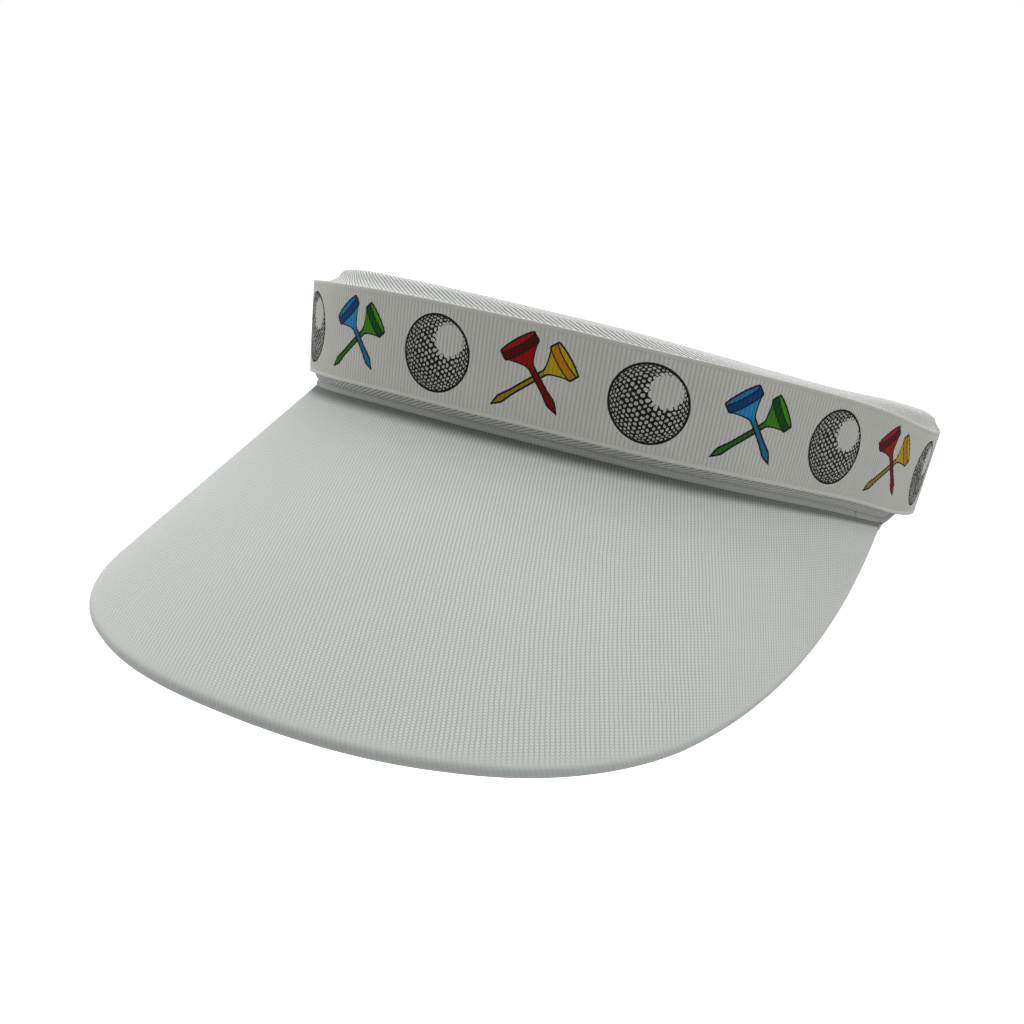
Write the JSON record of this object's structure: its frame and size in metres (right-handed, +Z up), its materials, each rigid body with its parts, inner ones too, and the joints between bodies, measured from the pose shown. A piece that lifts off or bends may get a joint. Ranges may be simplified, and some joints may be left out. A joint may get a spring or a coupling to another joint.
{
  "type": "sun visor",
  "caption": "Clip-on sun visor: a padded sprung headband, open at the back, with a printed ribbon and a wide curved brim",
  "frame": {"origin": "middle of the head opening, across the widest part of the band, level with the middle of the ribbon's height at the forehead", "axes": "+Z up as worn, brim pointing along -Y, +X towards the wearer's left"},
  "size_m": [0.1626, 0.2037, 0.0767],
  "materials": {
    "ribbon": "woven ribbed grosgrain, white, printed with balls and crossed tees",
    "band_twill": "white twill weave",
    "lining": "white looped terry",
    "brim_cloth": "white fine ribbed cotton",
    "spring_strip": "natural white springy plastic",
    "brim_board": "white flexible board",
    "foam": "soft open foam"
  },
  "bodies": {
    "front": {"ribbon_front": "ribbon", "band_cover_front": "band_twill", "spring_strip_front": "spring_strip", "band_foam_front": "foam", "sweatband_lining_front": "lining", "brim_top_cloth": "brim_cloth", "brim_board": "brim_board", "brim_under_cloth": "brim_cloth"},
    "left_arm": {"ribbon_left_arm": "ribbon", "band_cover_left_arm": "band_twill", "spring_strip_left_arm": "spring_strip", "band_foam_left_arm": "foam", "sweatband_lining_left_arm": "lining", "end_binding_left": "band_twill"},
    "right_arm": {"ribbon_right_arm": "ribbon", "band_cover_right_arm": "band_twill", "spring_strip_right_arm": "spring_strip", "band_foam_right_arm": "foam", "sweatband_lining_right_arm": "lining", "end_binding_right": "band_twill"}
  },
  "joints": [
    {"name": "left_arm_flex", "type": "hinge", "parent": "front", "child": "left_arm", "pos_m": [0.08077, -0.01342, -0.0022], "axis": [0, 0, -1], "range_deg": [0, 14], "stiffness_Nm_per_rad": 0.3},
    {"name": "right_arm_flex", "type": "hinge", "parent": "front", "child": "right_arm", "pos_m": [-0.08077, -0.01342, -0.0022], "axis": [0, 0, 1], "range_deg": [0, 14], "stiffness_Nm_per_rad": 0.3}
  ]
}
